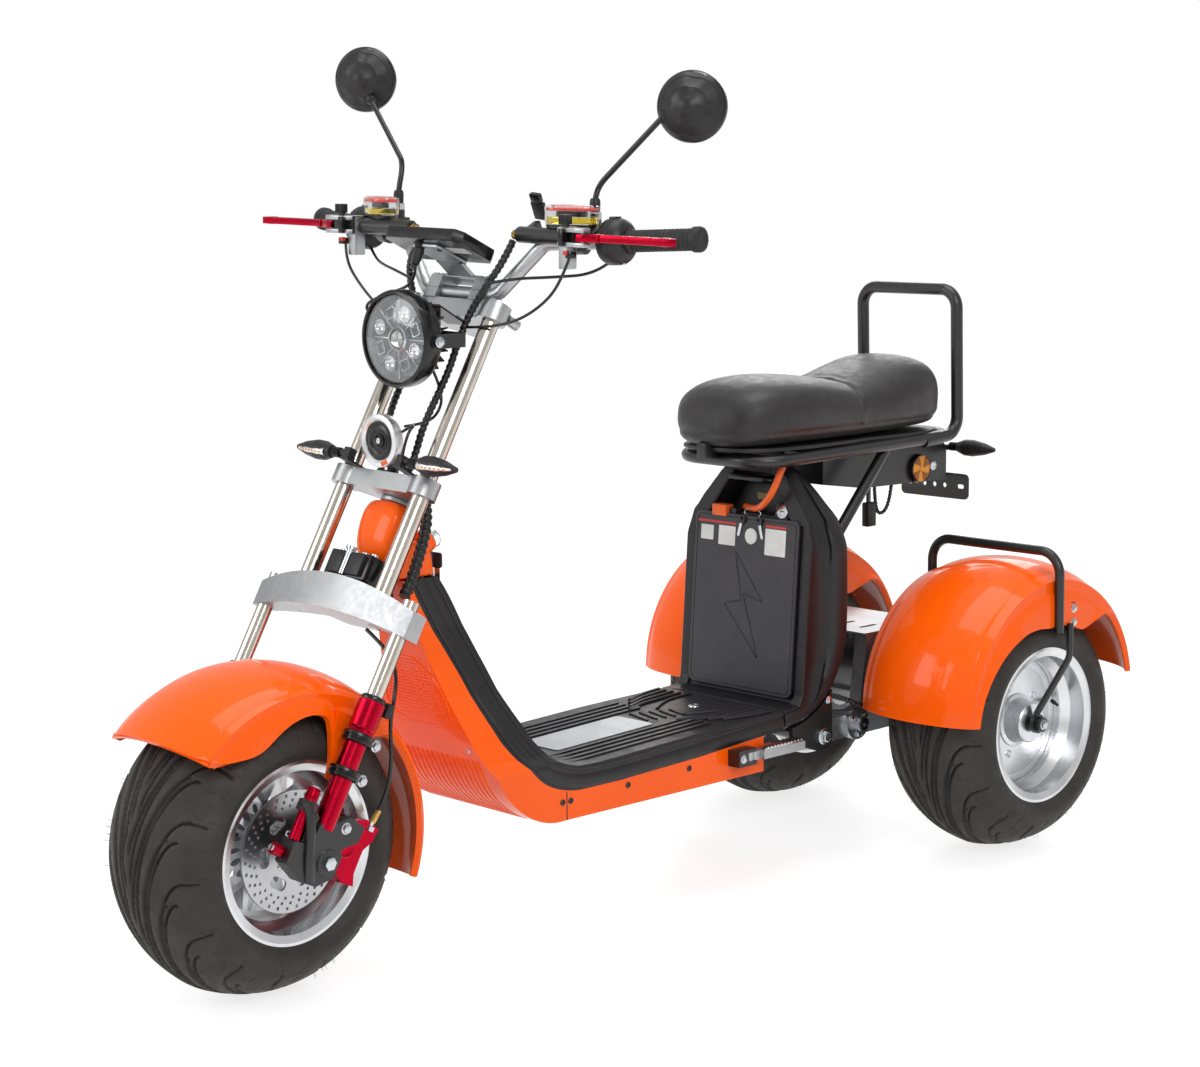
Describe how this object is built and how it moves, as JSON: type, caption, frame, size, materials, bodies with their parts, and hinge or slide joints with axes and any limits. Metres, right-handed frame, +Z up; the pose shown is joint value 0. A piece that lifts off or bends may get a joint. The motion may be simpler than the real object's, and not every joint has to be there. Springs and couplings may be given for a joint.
{
  "type": "electric chopper motorcycle",
  "caption": "Three-wheeled electric chopper scooter with a raked fork, wide tyres, orange body, step-through floor, battery housing and long black seat.",
  "frame": {"origin": "on the floor, midway between the rear wheels, straight below the rear axle", "axes": "+X forwards, +Y to the rider's left, +Z up"},
  "size_m": [1.9099, 0.9179, 1.4094],
  "materials": {
    "tyre": "matt moulded rubber",
    "rim": "polished",
    "disc": "ground",
    "orange_body": "high gloss",
    "orange_metal": "high gloss paint",
    "black_plastic": "fine grain",
    "black_metal": "satin powder coat",
    "silver_cast": "satin silver paint",
    "bright_steel": "polished",
    "red_anodised": "gloss anodised",
    "seat_cover": "smooth vinyl",
    "grip_rubber": "matt",
    "lens": "clear",
    "fluid_cup": "clear with yellow fluid",
    "mirror": "silvered",
    "amber": "reflex",
    "loom": "spiral wrap",
    "lead_orange": "satin"
  },
  "bodies": {
    "chassis": {"main_frame": "black_metal", "head_cover": "orange_body", "belly_panel": "orange_body", "footboard": "black_plastic", "floor_insert": "silver_cast", "battery_housing": "black_plastic", "battery_pack": "black_plastic", "battery_lead": "lead_orange", "seat_frame": "black_metal", "seat": "seat_cover", "tail_bracket": "black_metal", "rear_indicators": "black_plastic", "reflectors": "amber", "peg_brackets": "black_metal", "rear_subframe": "silver_cast", "rear_axle": "bright_steel", "drive_motor": "silver_cast", "fender_guards": "black_metal", "rear_fender_left": "orange_metal", "rear_fender_right": "orange_metal"},
    "steering": {"lower_plate": "silver_cast", "fork_tubes": "bright_steel", "mid_bridge": "silver_cast", "top_yoke": "silver_cast", "fork_sliders": "red_anodised", "leg_castings": "black_metal", "brake_caliper": "red_anodised", "front_fender": "orange_metal", "fender_clamps": "black_metal", "headlight": "black_plastic", "headlight_lens": "lens", "horn": "black_plastic", "front_indicators": "black_plastic", "handlebar": "bright_steel", "bar_clamps": "silver_cast", "display": "black_plastic", "grips": "grip_rubber", "switch_housings": "black_plastic", "master_cylinders": "black_metal", "fluid_cups": "fluid_cup", "brake_levers": "red_anodised", "mirrors": "black_plastic", "mirror_glass": "mirror", "wiring_looms": "loom", "brake_hose": "loom"},
    "front_wheel": {"front_tyre": "tyre", "front_rim": "rim", "brake_disc": "disc"},
    "rear_wheel_left": {"rear_tyre_left": "tyre", "rear_rim_left": "rim"},
    "rear_wheel_right": {"rear_tyre_right": "tyre", "rear_rim_right": "rim"},
    "peg_left": {"foot_peg_left": "bright_steel"},
    "peg_right": {"foot_peg_right": "bright_steel"}
  },
  "joints": [
    {"name": "steering_turn", "type": "hinge", "parent": "chassis", "child": "steering", "pos_m": [1.41229, 0, 0.21937], "axis": [-0.4924, 0, 0.8704], "range_deg": [-38.2, 31.8]},
    {"name": "front_wheel_spin", "type": "hinge", "parent": "steering", "child": "front_wheel", "pos_m": [1.43097, 0.0012, 0.22995], "axis": [-0.0486, 0.9984, -0.0275], "continuous": true},
    {"name": "rear_wheel_left_spin", "type": "hinge", "parent": "chassis", "child": "rear_wheel_left", "pos_m": [0, 0.272, 0.23], "axis": [0, 1, 0], "continuous": true},
    {"name": "rear_wheel_right_spin", "type": "hinge", "parent": "chassis", "child": "rear_wheel_right", "pos_m": [0, -0.272, 0.23], "axis": [0, 1, 0], "continuous": true},
    {"name": "peg_left_fold", "type": "hinge", "parent": "chassis", "child": "peg_left", "pos_m": [0.532, 0.16, 0.23], "axis": [0, 0, -1], "range_deg": [0, 90]},
    {"name": "peg_right_fold", "type": "hinge", "parent": "chassis", "child": "peg_right", "pos_m": [0.532, -0.16, 0.23], "axis": [0, 0, 1], "range_deg": [0, 90]}
  ]
}
